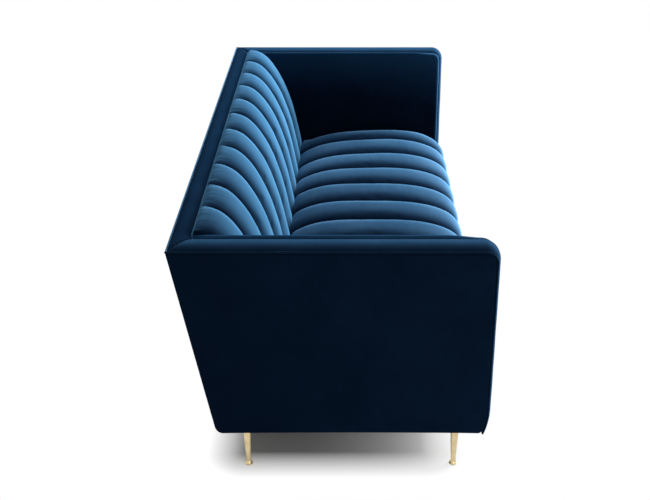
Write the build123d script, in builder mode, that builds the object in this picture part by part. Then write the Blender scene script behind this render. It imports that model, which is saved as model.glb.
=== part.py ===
from build123d import *
from math import cos, radians, sin, sqrt, tan
import os

# A three-seat sofa with straight arms as high as the back, a channelled seat and back, and four slim legs.
# Sizes are in millimetres. The origin is on the floor under the middle of the sofa.
# +X points to the right end as seen from the front, +Y to the back and +Z up.
os.makedirs("parts", exist_ok=True)

# Overall sizes
sofa_length = 2130
sofa_depth = 928
sofa_height = 770
floor_clearance = 158
back_lean = 10.5

# Bands, welts and outer panels
arm_width = 90
arm_swell = 18
arm_corner_radius = 34
band_crown = 12
welt_diameter = 5
soft_gap = 0.3
arm_panel_thickness = 19
arm_panel_edge_radius = 7
back_panel_thickness = 10
front_cover_thickness = 11
front_cover_edge_radius = 6
dust_cover_thickness = 1.5

# Hardwood frame
board = 28
rail_lift = 12
rail_height = 100
cross_rail_height = 70
back_frame_depth = 51
back_top_rail_height = 60
arm_post_depth = 40
arm_top_rail_height = 45
tack_rail_lift = 60
tack_rail_height = 40
corner_block_side = 130
corner_block_height = 60

# Springs, deck and webbing
springs_per_bay = 2
spring_wire = 4
spring_width = 48
spring_step = 24
clip_sheet = 1.5
clip_width = 20
clip_reach = 14
deck_thickness = 10
webbing_count = 5
webbing_width = 50
webbing_thickness = 3

# Channelled seat and back
channel_count = 11
channel_depth = 30
cover_thickness = 25
seat_height = 437
seat_rear_drop = 60
seat_rear_curve = 4
seat_roll_reach = 305
seat_roll_drop = 135
back_thickness = 212
back_roll_rise = 374
back_roll_crown = 12
back_pad_tuck = 130
back_foam_lift = 20
roll_fullness = 2.5
loft_core = 12

# Legs and their fixings
leg_end_inset = 70
leg_front_inset = 100
leg_rear_inset = 85
leg_top_diameter = 29
leg_neck_diameter = 15
leg_foot_diameter = 26
leg_foot_edge = 2.5
leg_flare_height = 13
glide_diameter = 20
glide_thickness = 3
plate_side = 60
plate_thickness = 3
plate_corner_radius = 6
bolt_diameter = 8
bolt_grip = 24
bolt_rise = 50
screw_spacing = 36
screw_diameter = 4
screw_length = 22
screw_head_diameter = 8
screw_head_height = 2
fixing_clearance = 0.1

# Planes and levels that the pieces share
sides = (("left", -1), ("right", 1))
half_length = sofa_length / 2
front_y = -sofa_depth / 2
rear_y = sofa_depth / 2
lean = radians(back_lean)
welt_radius = welt_diameter / 2
seam_reach = welt_radius + soft_gap
seam_z = sofa_height - band_crown
seam_front_y = front_y + band_crown
outer_seam_x = half_length - welt_radius
inner_seam_x = half_length - arm_width
face_y = seam_front_y + seam_reach
top_z = seam_z - seam_reach
frame_outer_x = half_length - arm_panel_thickness
frame_inner_x = frame_outer_x - board
frame_middle_x = frame_outer_x - board / 2
rail_z = floor_clearance + rail_lift
rail_top = rail_z + rail_height
back_rail_front = back_panel_thickness + board
back_frame_front = back_panel_thickness + back_frame_depth
back_frame_span = (back_panel_thickness, back_frame_front)
back_base = back_frame_front + webbing_thickness
back_rail_low = top_z - back_top_rail_height
arm_rail_low = top_z - arm_top_rail_height
clip_height = 2 * clip_sheet + spring_wire + 2 * soft_gap
deck_z = rail_top + clip_height
seat_base = deck_z + deck_thickness + soft_gap
seat_half = inner_seam_x - arm_swell - soft_gap
channel_width = 2 * seat_half / channel_count


# Y on a plane that leans with the back, at a height and a distance in from the sofa's outer back
def lean_y(z, inset):
    return rear_y - (seam_z - z) * tan(lean) - inset / cos(lean)


# Point of the back at a distance up the lean and a distance in from the sofa's outer back
def back_point(up, inward):
    y = lean_y(floor_clearance, 0) + up * sin(lean) - inward * cos(lean)
    z = floor_clearance + up * cos(lean) + inward * sin(lean)
    return y, z


# Four corners, in Y and Z, of a board that leans with the back
def leaning_board(low, high, outer, inner):
    return [
        (lean_y(low, outer), low),
        (lean_y(low, inner), low),
        (lean_y(high, inner), high),
        (lean_y(high, outer), high),
    ]


def save(piece, node):
    piece.part.label = node
    export_step(piece.part, f"parts/{node}.step")


# Base: front rail
with BuildPart() as front_rail:
    with BuildSketch(Plane.XY.offset(rail_z)):
        with Locations((0, face_y + board / 2)):
            Rectangle(2 * frame_inner_x, board)
    extrude(amount=rail_height)
save(front_rail, "front_rail")

# Base: back rail, leaning with the back
with BuildPart() as back_rail:
    with BuildSketch(Plane.YZ):
        with BuildLine():
            Polyline(*leaning_board(rail_z, rail_top, back_panel_thickness, back_rail_front), close=True)
        make_face()
    extrude(amount=frame_inner_x, both=True)
save(back_rail, "back_rail")

# Base: end rails, cut to the lean of the rear posts
for side, sign in sides:
    with BuildPart() as end_rail:
        with BuildSketch(Plane.YZ.offset(sign * frame_middle_x)):
            with BuildLine():
                Polyline(
                    (face_y, rail_z),
                    (lean_y(rail_z, back_frame_front), rail_z),
                    (lean_y(rail_top, back_frame_front), rail_top),
                    (face_y, rail_top),
                    close=True,
                )
            make_face()
        extrude(amount=board / 2, both=True)
    save(end_rail, f"end_rail_{side}")

# Base: three cross rails, lower than the springs, and the three uprights of the back in line with them
bay_count = 4
bay_width = 2 * frame_inner_x / bay_count
for place, step in (("left", -1), ("middle", 0), ("right", 1)):
    with BuildPart() as cross_rail:
        with BuildSketch(Plane.YZ.offset(step * bay_width)):
            with BuildLine():
                Polyline(
                    (face_y + board, rail_z),
                    (lean_y(rail_z, back_rail_front), rail_z),
                    (lean_y(rail_z + cross_rail_height, back_rail_front), rail_z + cross_rail_height),
                    (face_y + board, rail_z + cross_rail_height),
                    close=True,
                )
            make_face()
        extrude(amount=board / 2, both=True)
    save(cross_rail, f"cross_rail_{place}")

    with BuildPart() as back_upright:
        with BuildSketch(Plane.YZ.offset(step * bay_width)):
            with BuildLine():
                Polyline(*leaning_board(rail_top, back_rail_low, *back_frame_span), close=True)
            make_face()
        extrude(amount=board / 2, both=True)
    save(back_upright, f"back_upright_{place}")

# Back frame: top rail, and a rear post at each end
with BuildPart() as back_top_rail:
    with BuildSketch(Plane.YZ):
        with BuildLine():
            Polyline(*leaning_board(back_rail_low, top_z, *back_frame_span), close=True)
        make_face()
    extrude(amount=frame_outer_x, both=True)
save(back_top_rail, "back_top_rail")

for side, sign in sides:
    with BuildPart() as rear_post:
        with BuildSketch(Plane.YZ.offset(sign * frame_middle_x)):
            with BuildLine():
                Polyline(*leaning_board(rail_z, back_rail_low, *back_frame_span), close=True)
            make_face()
        extrude(amount=board / 2, both=True)
    save(rear_post, f"rear_post_{side}")

# Arm frames: front post, top rail with a rounded front corner, and tack rail
frame_corner_radius = arm_corner_radius - seam_reach
for side, sign in sides:
    with BuildPart() as arm_post:
        with BuildSketch(Plane.XY.offset(rail_top)):
            with Locations((sign * frame_middle_x, face_y + arm_post_depth / 2)):
                Rectangle(board, arm_post_depth)
        extrude(amount=arm_rail_low - rail_top)
    save(arm_post, f"arm_post_{side}")

    with BuildPart() as arm_top_rail:
        with BuildSketch(Plane.YZ.offset(sign * frame_middle_x)):
            with BuildLine():
                rail_front = Line((face_y, arm_rail_low), (face_y, top_z - frame_corner_radius))
                rail_corner = JernArc(rail_front @ 1, (0, 1), frame_corner_radius, -90)
                Polyline(
                    rail_corner @ 1,
                    (lean_y(top_z, back_frame_front), top_z),
                    (lean_y(arm_rail_low, back_frame_front), arm_rail_low),
                    (face_y, arm_rail_low),
                )
            make_face()
        extrude(amount=board / 2, both=True)
    save(arm_top_rail, f"arm_top_rail_{side}")

    tack_low = rail_top + tack_rail_lift
    tack_high = tack_low + tack_rail_height
    with BuildPart() as arm_tack_rail:
        with BuildSketch(Plane.YZ.offset(sign * frame_middle_x)):
            with BuildLine():
                Polyline(
                    (face_y + arm_post_depth, tack_low),
                    (lean_y(tack_low, back_base), tack_low),
                    (lean_y(tack_high, back_base), tack_high),
                    (face_y + arm_post_depth, tack_high),
                    close=True,
                )
            make_face()
        extrude(amount=board / 2, both=True)
    save(arm_tack_rail, f"arm_tack_rail_{side}")

# Corner blocks: glued into the base's corners, drilled for the legs' bolts and the plates' screws
leg_x = half_length - leg_end_inset
leg_front_y = front_y + leg_front_inset
leg_rear_y = lean_y(floor_clearance, 0) - leg_rear_inset
leg_places = [(sign * leg_x, y) for _, sign in sides for y in (leg_front_y, leg_rear_y)]
block_front_y = face_y + board
block_rear_y = lean_y(rail_z, back_rail_front)
with BuildPart() as corner_blocks:
    with BuildSketch(Plane.XY.offset(rail_z)):
        for _, sign in sides:
            for corner_y, inward in ((block_front_y, 1), (block_rear_y, -1)):
                with BuildLine():
                    Polyline(
                        (sign * frame_inner_x, corner_y),
                        (sign * (frame_inner_x - corner_block_side), corner_y),
                        (sign * frame_inner_x, corner_y + inward * corner_block_side),
                        close=True,
                    )
                make_face()
        with Locations(*leg_places):
            Circle(bolt_diameter / 2 + fixing_clearance, mode=Mode.SUBTRACT)
            with GridLocations(screw_spacing, screw_spacing, 2, 2):
                Circle(screw_diameter / 2 + fixing_clearance, mode=Mode.SUBTRACT)
    extrude(amount=corner_block_height)
save(corner_blocks, "corner_blocks")

# Sinuous springs: zigzag wires from front to back, each ending in a bar that its clip holds
spring_z = rail_top + clip_sheet + soft_gap
spring_front_y = face_y + board / 2
spring_rear_y = lean_y(rail_top, back_panel_thickness + board / 2)
spring_bends = round((spring_rear_y - spring_front_y) / spring_step)
bend_step = (spring_rear_y - spring_front_y) / spring_bends
spring_slope = bend_step / sqrt(bend_step**2 + spring_width**2)
wire_shift = spring_wire / spring_slope / 2
spring_pitch = bay_width / springs_per_bay
spring_places = [-frame_inner_x + (step + 0.5) * spring_pitch for step in range(bay_count * springs_per_bay)]
with BuildPart() as seat_springs:
    with BuildSketch(Plane.XY.offset(spring_z)):
        for spring_x in spring_places:
            bends = [
                (spring_x + (-1) ** bend * spring_width / 2, spring_front_y + bend * bend_step)
                for bend in range(spring_bends + 1)
            ]
            left_edge = [(x - wire_shift, y) for x, y in bends]
            right_edge = [(x + wire_shift, y) for x, y in reversed(bends)]
            with BuildLine():
                Polyline(*left_edge, *right_edge, close=True)
            make_face()
            with Locations((spring_x, spring_front_y), (spring_x, spring_rear_y)):
                Rectangle(spring_width + 2 * wire_shift, spring_wire)
    extrude(amount=spring_wire)
save(seat_springs, "seat_springs")

# Spring clips: folded steel on the front and back rails, open towards the seat's middle
clip_back = clip_sheet + soft_gap + spring_wire / 2
for row, clip_y, inward in (("front", spring_front_y, 1), ("rear", spring_rear_y, -1)):
    fold_y = clip_y - inward * clip_back
    mouth_y = fold_y + inward * clip_reach
    inner_y = fold_y + inward * clip_sheet
    with BuildPart() as spring_clips:
        for spring_x in spring_places:
            with BuildSketch(Plane.YZ.offset(spring_x)):
                with BuildLine():
                    Polyline(
                        (fold_y, rail_top),
                        (mouth_y, rail_top),
                        (mouth_y, rail_top + clip_sheet),
                        (inner_y, rail_top + clip_sheet),
                        (inner_y, deck_z - clip_sheet),
                        (mouth_y, deck_z - clip_sheet),
                        (mouth_y, deck_z),
                        (fold_y, deck_z),
                        close=True,
                    )
                make_face()
        extrude(amount=clip_width / 2, both=True)
    save(spring_clips, f"spring_clips_{row}")

# Deck: felt over the springs
with BuildPart() as seat_deck:
    with BuildSketch(Plane.YZ):
        with BuildLine():
            Polyline(
                (face_y, deck_z),
                (lean_y(deck_z, back_base), deck_z),
                (lean_y(deck_z + deck_thickness, back_base), deck_z + deck_thickness),
                (face_y, deck_z + deck_thickness),
                close=True,
            )
        make_face()
    extrude(amount=seat_half, both=True)
save(seat_deck, "seat_deck")

# Webbing: flat strips across the front of the back frame
webbing_low = back_pad_tuck + back_foam_lift
webbing_high = (back_rail_low - floor_clearance) / cos(lean)
webbing_pitch = (webbing_high - webbing_low) / webbing_count
with BuildPart() as back_webbing:
    for strip in range(webbing_count):
        strip_y, strip_z = back_point(webbing_low + (strip + 0.5) * webbing_pitch, back_frame_front)
        strip_plane = Plane((0, strip_y, strip_z), x_dir=(1, 0, 0), z_dir=(0, -cos(lean), sin(lean)))
        with BuildSketch(strip_plane):
            Rectangle(2 * frame_middle_x, webbing_width)
    extrude(amount=webbing_thickness)
save(back_webbing, "back_webbing")


# Cross-section of a channelled cover: a scalloped outer edge over a straight core,
# on a plane through a line along X, with height measured from that line towards (toward_y, toward_z)
def channel_section(y, z, toward_y, toward_z, core, crest):
    valley = crest - channel_depth
    plane = Plane((0, y, z), x_dir=(1, 0, 0), z_dir=(0, -toward_z, toward_y))
    with BuildSketch(plane) as section:
        with BuildLine():
            for channel in range(channel_count):
                start = -seat_half + channel * channel_width
                ThreePointArc(
                    (start, valley),
                    (start + channel_width / 2, crest),
                    (start + channel_width, valley),
                )
            Polyline((seat_half, valley), (seat_half, core), (-seat_half, core), (-seat_half, valley))
        make_face()
    return section.sketch


# Distance from a full oval's centre to its rim, towards a direction from its minor axis
def oval_radius(turn, minor, major):
    share = abs(cos(turn) / minor) ** roll_fullness + abs(sin(turn) / major) ** roll_fullness
    return share ** (-1 / roll_fullness)


# Seat: a foam core, and the channelled cover that rolls over its front edge, both cut level on the deck
roll_turns = [radians(angle) for angle in (0, 30, 54, 72, 90)]
seat_crest_y = front_y + seat_roll_reach
seat_roll_z = seat_height - seat_roll_drop
seat_rear_inset = back_thickness + soft_gap
seat_rear_height = seat_height - seat_rear_drop
seat_rear_y = lean_y(seat_rear_height, seat_rear_inset)
seat_core_drop = channel_depth + cover_thickness
seat_foam_rear = seat_rear_height - seat_core_drop
seat_foam_outline = [
    (lean_y(rail_z, seat_rear_inset), rail_z),
    (lean_y(seat_foam_rear, seat_rear_inset), seat_foam_rear),
    (seat_crest_y, seat_height - seat_core_drop),
    (front_y + seat_core_drop, seat_roll_z),
    (front_y + seat_core_drop, rail_z),
]
seat_base_plane = Plane.XY.offset(seat_base)
with BuildPart() as seat_foam:
    with BuildSketch(Plane.YZ):
        with BuildLine():
            Polyline(*seat_foam_outline, close=True)
        make_face()
    extrude(amount=seat_half, both=True)
    split(bisect_by=seat_base_plane)
save(seat_foam, "seat_foam")

roll_sections = []
for turn in roll_turns:
    crest = oval_radius(turn, seat_roll_drop, seat_roll_reach)
    roll_sections.append(channel_section(seat_crest_y, seat_roll_z, -sin(turn), cos(turn), loft_core, crest))
run_sections = [roll_sections[0]]
seat_run = seat_rear_y - seat_crest_y
for share in (0.4, 0.75, 1.1):
    crest_z = seat_height - seat_rear_drop * share**seat_rear_curve
    run_y = seat_crest_y + share * seat_run
    run_sections.append(channel_section(run_y, rail_z, 0, 1, loft_core, crest_z - rail_z))
fall_end = channel_section(seat_crest_y, rail_z, -1, 0, loft_core, seat_roll_reach)
fall_sections = [roll_sections[-1], fall_end]
with BuildPart() as seat_cover:
    loft(sections=run_sections)
    loft(sections=roll_sections)
    loft(sections=fall_sections, ruled=True)
    with BuildSketch(Plane.YZ):
        with BuildLine():
            Polyline(*seat_foam_outline, close=True)
        make_face()
        with BuildLine():
            Polyline(
                (lean_y(0, seat_rear_inset), 0),
                (rear_y, 0),
                (rear_y, sofa_height),
                (lean_y(sofa_height, seat_rear_inset), sofa_height),
                close=True,
            )
        make_face()
    extrude(amount=half_length, both=True, mode=Mode.SUBTRACT)
    split(bisect_by=seat_base_plane)
save(seat_cover, "seat_cover")

# Back: a foam core, and the channelled cover that rolls over its top into the inner seam
back_top_z = sofa_height + back_roll_crown
back_pad_top = (back_top_z - floor_clearance - back_base * sin(lean)) / cos(lean)
back_roll_up = back_pad_top - back_roll_rise
back_swell = back_thickness - back_base
back_core_drop = channel_depth + cover_thickness
back_foam_low = back_pad_tuck + back_foam_lift
back_foam_outline = [
    back_point(back_foam_low, back_base),
    back_point(back_foam_low, back_thickness - back_core_drop),
    back_point(back_roll_up, back_thickness - back_core_drop),
    back_point(back_pad_top - back_core_drop, back_base),
]
with BuildPart() as back_foam:
    with BuildSketch(Plane.YZ):
        with BuildLine():
            Polyline(*back_foam_outline, close=True)
        make_face()
    extrude(amount=seat_half, both=True)
save(back_foam, "back_foam")

tuck_y, tuck_z = back_point(back_pad_tuck, back_base)
roll_y, roll_z = back_point(back_roll_up, back_base)
back_sections = [channel_section(tuck_y, tuck_z, -cos(lean), sin(lean), loft_core, back_swell)]
for turn in roll_turns:
    crest = oval_radius(turn, back_swell, back_roll_rise)
    tilt = lean + turn
    back_sections.append(channel_section(roll_y, roll_z, -cos(tilt), sin(tilt), loft_core, crest))
with BuildPart() as back_cover:
    loft(sections=back_sections)
    with BuildSketch(Plane.YZ):
        with BuildLine():
            Polyline(*back_foam_outline, close=True)
        make_face()
    extrude(amount=half_length, both=True, mode=Mode.SUBTRACT)
save(back_cover, "back_cover")


# Side outline of an arm: upright front with a rounded top corner, level top, and rear edge on the lean
def arm_outline(x, low, rear_inset):
    with BuildSketch(Plane.YZ.offset(x)) as outline:
        with BuildLine():
            front_edge = Line((face_y, low), (face_y, top_z - frame_corner_radius))
            top_corner = JernArc(front_edge @ 1, (0, 1), frame_corner_radius, -90)
            Polyline(
                top_corner @ 1,
                (lean_y(top_z, rear_inset), top_z),
                (lean_y(low, rear_inset), low),
                (face_y, low),
            )
        make_face()
    return outline.sketch


# Inside-arm pads and outside-arm panels, with their shown edges rounded
pad_rear_inset = back_base + soft_gap
pad_thickness = frame_inner_x - seat_half - soft_gap
for side, sign in sides:
    with BuildPart() as arm_pad:
        extrude(arm_outline(sign * frame_inner_x, rail_top, pad_rear_inset), amount=-sign * pad_thickness)
        pad_face = arm_pad.faces().sort_by(Axis.X)[0 if sign > 0 else -1]
        fillet(pad_face.edges(), arm_swell)
    save(arm_pad, f"arm_pad_{side}")

    with BuildPart() as outside_arm:
        extrude(arm_outline(sign * frame_outer_x, floor_clearance, 0), amount=sign * arm_panel_thickness)
        panel_face = outside_arm.faces().sort_by(Axis.X)[-1 if sign > 0 else 0]
        low_edge = panel_face.edges().sort_by(Axis.Z)[0]
        rear_edge = panel_face.edges().sort_by(Axis.Y)[-1]
        fillet([low_edge, rear_edge], arm_panel_edge_radius)
    save(outside_arm, f"outside_arm_{side}")

# Outside back: one flat panel between the outside arms
with BuildPart() as outside_back:
    with BuildSketch(Plane.YZ):
        with BuildLine():
            Polyline(*leaning_board(floor_clearance, top_z, 0, back_panel_thickness), close=True)
        make_face()
    extrude(amount=frame_outer_x, both=True)
save(outside_back, "outside_back")

# Front cover: padded border over the front rail
front_cover_top = seat_base - soft_gap
with BuildPart() as front_cover:
    with BuildSketch(Plane.XY.offset(floor_clearance)):
        with Locations((0, face_y - front_cover_thickness / 2)):
            Rectangle(2 * (inner_seam_x - seam_reach), front_cover_thickness)
    extrude(amount=front_cover_top - floor_clearance)
    fillet(front_cover.faces().sort_by(Axis.Y)[0].edges(), front_cover_edge_radius)
save(front_cover, "front_cover")

# Bands: crowned strips between the welts, mitred where an arm meets the back
back_inner_seam_y = lean_y(seam_z, back_base) + seam_reach
back_outer_seam_y = rear_y - welt_radius
band_inner_x = inner_seam_x + seam_reach
band_outer_x = outer_seam_x - seam_reach
band_low_y = back_inner_seam_y + seam_reach
band_high_y = back_outer_seam_y - seam_reach


# Upright plane through the corner where the band of an arm meets the band of the back
def mitre_plane(sign):
    across = (-sign * (band_high_y - band_low_y), band_outer_x - band_inner_x, 0)
    return Plane((sign * band_inner_x, band_low_y, 0), x_dir=(0, 0, 1), z_dir=across)


for side, sign in sides:
    low_x, high_x = sorted((sign * band_inner_x, sign * band_outer_x))
    with BuildPart() as arm_band:
        with BuildLine() as band_path:
            FilletPolyline(
                (0, rear_y, seam_z),
                (0, seam_front_y, seam_z),
                (0, seam_front_y, floor_clearance),
                radius=arm_corner_radius,
            )
        with BuildSketch(Plane((0, rear_y, seam_z), x_dir=(1, 0, 0), z_dir=(0, -1, 0))):
            with BuildLine():
                ThreePointArc((low_x, 0), ((low_x + high_x) / 2, band_crown), (high_x, 0))
                Polyline((high_x, 0), (high_x, -seam_reach), (low_x, -seam_reach), (low_x, 0))
            make_face()
        sweep(path=band_path.line)
        split(bisect_by=mitre_plane(sign).offset(-soft_gap / 2), keep=Keep.BOTTOM)
    save(arm_band, f"arm_band_{side}")

with BuildPart() as back_band:
    with BuildSketch(Plane.YZ):
        with BuildLine():
            ThreePointArc(
                (band_low_y, seam_z),
                ((band_low_y + band_high_y) / 2, sofa_height),
                (band_high_y, seam_z),
            )
            Polyline((band_high_y, seam_z), (band_high_y, top_z), (band_low_y, top_z), (band_low_y, seam_z))
        make_face()
    extrude(amount=half_length, both=True)
    for _, sign in sides:
        split(bisect_by=mitre_plane(sign).offset(soft_gap / 2), keep=Keep.TOP)
save(back_band, "back_band")

# Welts: sewn cords along the arms' outer and inner seams and both edges of the back band
for side, sign in sides:
    for seam, seam_x, seam_end_y in (
        ("outer", outer_seam_x, rear_y),
        ("inner", inner_seam_x, back_inner_seam_y + welt_radius),
    ):
        with BuildPart() as arm_welt:
            with BuildLine() as welt_path:
                FilletPolyline(
                    (sign * seam_x, seam_end_y, seam_z),
                    (sign * seam_x, seam_front_y, seam_z),
                    (sign * seam_x, seam_front_y, floor_clearance),
                    radius=arm_corner_radius,
                )
            with BuildSketch(Plane((sign * seam_x, seam_end_y, seam_z), x_dir=(1, 0, 0), z_dir=(0, -1, 0))):
                Circle(welt_radius)
            sweep(path=welt_path.line)
        save(arm_welt, f"arm_welt_{seam}_{side}")

for seam, seam_y, welt_half in (
    ("front", back_inner_seam_y, inner_seam_x - seam_reach),
    ("rear", back_outer_seam_y, outer_seam_x - seam_reach),
):
    with BuildPart() as back_welt:
        with BuildSketch(Plane.YZ):
            with Locations((seam_y, seam_z)):
                Circle(welt_radius)
        extrude(amount=welt_half, both=True)
    save(back_welt, f"back_welt_{seam}")

# Dust cover: thin cloth under the base, cut out round the leg plates
with BuildPart() as dust_cover:
    with BuildSketch(Plane.XY.offset(rail_z - dust_cover_thickness)):
        dust_rear_y = lean_y(rail_z - dust_cover_thickness, back_panel_thickness)
        with Locations((0, (face_y + dust_rear_y) / 2)):
            Rectangle(2 * frame_outer_x, dust_rear_y - face_y)
        with Locations(*leg_places):
            Rectangle(plate_side + 2 * soft_gap, plate_side + 2 * soft_gap, mode=Mode.SUBTRACT)
    extrude(amount=dust_cover_thickness)
save(dust_cover, "dust_cover")

# Legs: turned, tapering from the plate to a neck and flaring out to a small foot
plate_z = rail_z - plate_thickness
foot_top_z = glide_thickness + leg_foot_edge
neck_z = glide_thickness + leg_flare_height
foot_radius = leg_foot_diameter / 2
neck_radius = leg_neck_diameter / 2
flare_middle = (neck_radius + (foot_radius - neck_radius) / 4, (foot_top_z + neck_z) / 2)
for row, leg_y in (("front", leg_front_y), ("rear", leg_rear_y)):
    for side, sign in sides:
        with BuildPart() as leg:
            with BuildSketch(Plane((sign * leg_x, leg_y, 0), x_dir=(1, 0, 0), z_dir=(0, -1, 0))):
                with BuildLine():
                    Polyline(
                        (0, plate_z),
                        (0, glide_thickness),
                        (foot_radius, glide_thickness),
                        (foot_radius, foot_top_z),
                    )
                    ThreePointArc((foot_radius, foot_top_z), flare_middle, (neck_radius, neck_z))
                    Polyline((neck_radius, neck_z), (leg_top_diameter / 2, plate_z), (0, plate_z))
                make_face()
            revolve(axis=Axis((sign * leg_x, leg_y, 0), (0, 0, 1)))
            with Locations((sign * leg_x, leg_y, plate_z)):
                Hole(bolt_diameter / 2 + fixing_clearance, depth=bolt_grip)
        save(leg, f"leg_{row}_{side}")

# Leg fixings: plates under the corner blocks, their screws, the bolts that hold the legs, and the glides
with BuildPart() as leg_plates:
    with BuildSketch(Plane.XY.offset(plate_z)):
        with Locations(*leg_places):
            RectangleRounded(plate_side, plate_side, plate_corner_radius)
            Circle(bolt_diameter / 2 + fixing_clearance, mode=Mode.SUBTRACT)
            with GridLocations(screw_spacing, screw_spacing, 2, 2):
                Circle(screw_diameter / 2 + fixing_clearance, mode=Mode.SUBTRACT)
    extrude(amount=plate_thickness)
save(leg_plates, "leg_plates")

with BuildPart() as plate_screws:
    with BuildSketch(Plane.XY.offset(plate_z)):
        with Locations(*leg_places):
            with GridLocations(screw_spacing, screw_spacing, 2, 2):
                Circle(screw_diameter / 2)
    extrude(amount=screw_length)
    with BuildSketch(Plane.XY.offset(plate_z)):
        with Locations(*leg_places):
            with GridLocations(screw_spacing, screw_spacing, 2, 2):
                Circle(screw_head_diameter / 2)
    extrude(amount=-screw_head_height)
save(plate_screws, "plate_screws")

with BuildPart() as leg_bolts:
    with BuildSketch(Plane.XY.offset(plate_z - bolt_grip)):
        with Locations(*leg_places):
            Circle(bolt_diameter / 2)
    extrude(amount=bolt_grip + bolt_rise)
save(leg_bolts, "leg_bolts")

with BuildPart() as floor_glides:
    with BuildSketch(Plane.XY):
        with Locations(*leg_places):
            Circle(glide_diameter / 2)
    extrude(amount=glide_thickness)
save(floor_glides, "floor_glides")
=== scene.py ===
import math
import bmesh
import bpy
import numpy as np
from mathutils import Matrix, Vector, noise


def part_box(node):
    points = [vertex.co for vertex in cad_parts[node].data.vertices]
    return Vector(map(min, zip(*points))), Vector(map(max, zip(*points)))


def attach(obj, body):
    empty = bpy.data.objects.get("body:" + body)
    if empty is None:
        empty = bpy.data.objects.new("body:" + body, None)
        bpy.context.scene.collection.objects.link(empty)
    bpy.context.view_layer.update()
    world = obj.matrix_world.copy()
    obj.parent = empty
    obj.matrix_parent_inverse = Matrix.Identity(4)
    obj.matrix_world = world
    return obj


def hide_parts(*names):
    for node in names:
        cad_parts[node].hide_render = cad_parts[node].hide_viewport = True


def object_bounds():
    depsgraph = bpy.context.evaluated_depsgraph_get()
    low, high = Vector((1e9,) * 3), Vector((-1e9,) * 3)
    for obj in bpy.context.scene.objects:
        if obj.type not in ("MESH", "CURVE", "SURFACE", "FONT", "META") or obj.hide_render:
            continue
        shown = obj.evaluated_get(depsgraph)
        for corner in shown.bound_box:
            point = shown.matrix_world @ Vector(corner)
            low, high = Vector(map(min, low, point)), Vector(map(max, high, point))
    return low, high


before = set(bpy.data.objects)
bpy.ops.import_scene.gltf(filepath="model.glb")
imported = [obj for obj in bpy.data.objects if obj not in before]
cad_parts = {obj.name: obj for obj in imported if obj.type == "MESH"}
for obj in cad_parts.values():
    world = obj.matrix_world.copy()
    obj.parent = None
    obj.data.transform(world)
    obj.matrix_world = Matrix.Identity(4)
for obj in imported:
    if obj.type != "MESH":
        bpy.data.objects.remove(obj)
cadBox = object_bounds()
scene = bpy.context.scene
scene.view_settings.view_transform = "Standard"
print("frame loaded with", len(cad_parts), "nodes")


# One socket of a material; sums on it add Math nodes
class Wire:
    def __init__(self, paint, socket):
        self.paint = paint
        self.socket = socket

    def maths(self, operation, first, second):
        return self.paint.node("ShaderNodeMath", {"operation": operation}, {0: first, 1: second})

    def __add__(self, other):
        return self.maths("ADD", self, other)

    def __rsub__(self, other):
        return self.maths("SUBTRACT", other, self)

    def __mul__(self, other):
        return self.maths("MULTIPLY", self, other)

    def __pow__(self, other):
        return self.maths("POWER", self, other)

    def atMost(self, limit):
        return self.maths("MINIMUM", self, limit)

    __radd__ = __add__


# The nodes of one material, or of the world
class Paint:
    def __init__(self, owner):
        owner.use_nodes = True
        self.owner = owner
        self.tree = owner.node_tree
        self.tree.nodes.clear()

    def node(self, kind, settings=None, inputs=None, output=0):
        made = self.tree.nodes.new(kind)
        for key, value in (settings or {}).items():
            setattr(made, key, value)
        for key, value in (inputs or {}).items():
            if isinstance(value, Wire):
                self.tree.links.new(value.socket, made.inputs[key])
            else:
                made.inputs[key].default_value = value
        return Wire(self, made.outputs[output]) if made.outputs else None

    def place(self, stretch=(1, 1, 1)):
        spot = self.node("ShaderNodeTexCoord", output="Object")
        return self.node("ShaderNodeMapping", None, {"Vector": spot, "Scale": stretch})

    def axis(self, letter):
        return self.node("ShaderNodeSeparateXYZ", None, {0: self.place()}, letter)

    def cloud(self, scale, detail=2.0, stretch=(1, 1, 1), rough=0.5):
        sockets = {"Vector": self.place(stretch), "Scale": scale, "Detail": detail, "Roughness": rough}
        return self.node("ShaderNodeTexNoise", None, sockets)

    def mix(self, factor, first, second):
        sockets = {0: factor, 6: first, 7: second}
        return self.node("ShaderNodeMix", {"data_type": "RGBA", "clamp_factor": True}, sockets, 2)

    def spread(self, value, low, high):
        sockets = {"Value": value, "From Min": low, "From Max": high}
        return self.node("ShaderNodeMapRange", {"clamp": True}, sockets)

    def bump(self, height, strength, distance):
        sockets = {"Height": height, "Strength": strength, "Distance": distance}
        return self.node("ShaderNodeBump", None, sockets)

    def surface(self, sockets):
        return self.node("ShaderNodeBsdfPrincipled", None, sockets)

    def finish(self, surface):
        self.node("ShaderNodeOutputMaterial", None, {"Surface": surface})
        return self.owner


def newPaint(name):
    return Paint(bpy.data.materials.new(name))


# Navy velvet: a dark pile whose tips catch the light where it is seen edge on
velvetLook = {
    # scale, detail and stretch of the noise
    "pressed": (7.0, 4.0),
    "pressedRange": (0.30, 0.70),
    "brushed": (26.0, 3.0, (0.35, 2.2, 1.0)),
    "brushedRange": (0.25, 0.75),
    "pileScale": 1400.0,
    "napShares": (0.55, 0.25, 0.20),
    "frontLightShares": (0.6, 0.6),
    "upwardShares": (0.15, 0.85),
    "upwardPower": 2.0,
    "brushHeight": 0.6,
    "bumpStrength": 0.35,
    "pileHeight": 0.0006,
    "pileRoughness": (0.92, 0.14),
    "tipRoughness": (0.95, 0.10),
    "shine": 0.01,
    "sheenRoughness": 0.35,
    "sheenTint": (0.20, 0.55, 0.95, 1),
    "tipSheenTint": (0.75, 0.90, 1.00, 1),
}
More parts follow.
